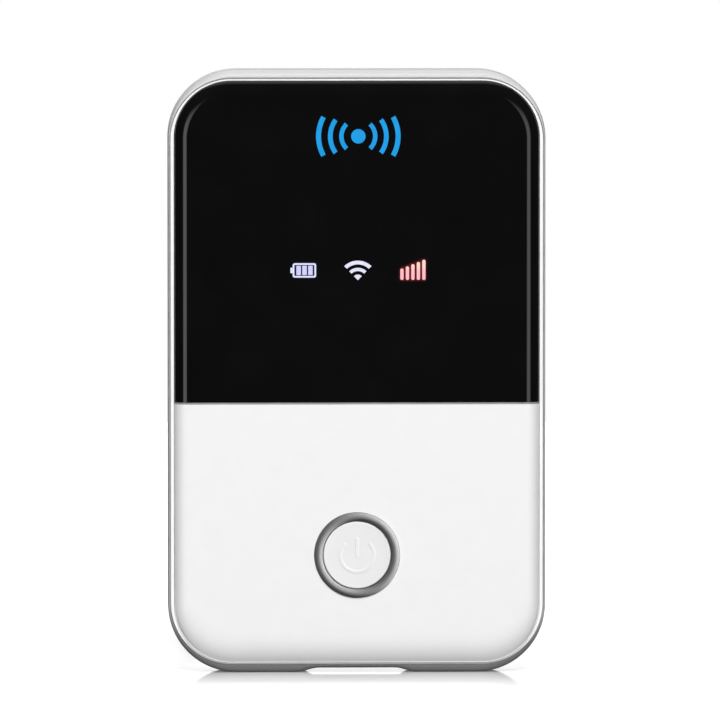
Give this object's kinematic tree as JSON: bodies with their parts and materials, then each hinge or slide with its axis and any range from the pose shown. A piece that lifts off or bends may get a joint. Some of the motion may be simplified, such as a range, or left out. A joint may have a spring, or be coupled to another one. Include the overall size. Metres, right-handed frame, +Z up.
{
  "type": "mobile hotspot",
  "caption": "Upright pocket router with a black display window over a white face, a round power button, a silver band, a removable back cover, battery and SIM card.",
  "frame": {"origin": "centre of the overall box's underside, with the router standing upright on its charging end", "axes": "+X to the right seen from the front, +Y towards the back cover, +Z up along the long side"},
  "size_m": [0.0604, 0.014, 0.0965],
  "materials": {
    "silver_band": "satin silver paint over plastic",
    "bright_trim": "gloss pearl white",
    "white_shell": "fine satin white",
    "black_window": "deep black gloss",
    "black_tape": "matt",
    "polished_bead": "polished",
    "white_button": "satin white",
    "grey_rubber": "matt",
    "black_plastic": "fine moulded",
    "switch_can": "bright pressed",
    "clear_guide": "clear moulded",
    "black_foam": "open foam",
    "lamp_white": "clear resin",
    "circuit_board": "green solder mask",
    "tinned_can": "tinned sheet",
    "thermal_gel": "soft pad",
    "gold_contact": "gold plated",
    "socket_steel": "nickel plated sheet",
    "card_white": "plain card",
    "capacitor_tan": "ceramic",
    "inner_tray": "fine moulded white",
    "battery_wrap": "foil pouch under a grey wrap",
    "paper_label": "blank paper",
    "white_cover": "satin white",
    "icon_white": "lit bluish white, emissive",
    "icon_red": "lit pinkish red, emissive",
    "mark_blue": "flat printed blue",
    "screw_steel": "blackened"
  },
  "bodies": {
    "case": {"mid_frame": "silver_band", "trim_ring": "bright_trim", "front_shell": "white_shell", "display_window": "black_window", "window_adhesive": "black_tape", "button_bezel": "polished_bead", "power_switch": "switch_can", "light_guide": "clear_guide", "light_baffle": "black_foam", "status_leds": "lamp_white", "main_board": "circuit_board", "modem_shield": "tinned_can", "wifi_shield": "tinned_can", "modem_chip": "black_plastic", "wifi_chip": "black_plastic", "thermal_pad": "thermal_gel", "main_antenna": "gold_contact", "diversity_antenna": "gold_contact", "wifi_antenna": "gold_contact", "usb_shell": "socket_steel", "usb_tongue": "black_plastic", "sim_socket": "socket_steel", "contact_block": "black_plastic", "battery_contacts": "gold_contact", "capacitors": "capacitor_tan", "reset_switch": "switch_can", "rear_housing": "inner_tray", "housing_screws": "screw_steel", "board_screws": "screw_steel"},
    "button": {"power_button": "white_button", "button_plunger": "grey_rubber", "switch_stem": "black_plastic"},
    "reset": {"reset_button": "grey_rubber"},
    "cover": {"battery_cover": "white_cover"},
    "battery": {"battery_pack": "battery_wrap", "battery_label": "paper_label"},
    "sim": {"sim_card": "card_white"}
  },
  "joints": [
    {"name": "power_button_press", "type": "slide", "parent": "case", "child": "button", "axis": [0, 1, 0], "range_m": [0, 0.00035], "stiffness_N_per_m": 1500, "springref_m": -0.0003},
    {"name": "reset_press", "type": "slide", "parent": "case", "child": "reset", "axis": [0, -1, 0], "range_m": [0, 0.00025], "stiffness_N_per_m": 600, "springref_m": -0.0003},
    {"name": "cover_lift", "type": "slide", "parent": "case", "child": "cover", "axis": [0, 1, 0], "range_m": [0, 0.03]},
    {"name": "battery_lift", "type": "slide", "parent": "case", "child": "battery", "axis": [0, 1, 0], "range_m": [0, 0.012]},
    {"name": "sim_slide", "type": "slide", "parent": "case", "child": "sim", "axis": [1, 0, 0], "range_m": [0, 0.018]}
  ],
  "couplings": [
    {"joint": "battery_lift", "follows": "cover_lift", "ratio": 0.4}
  ]
}
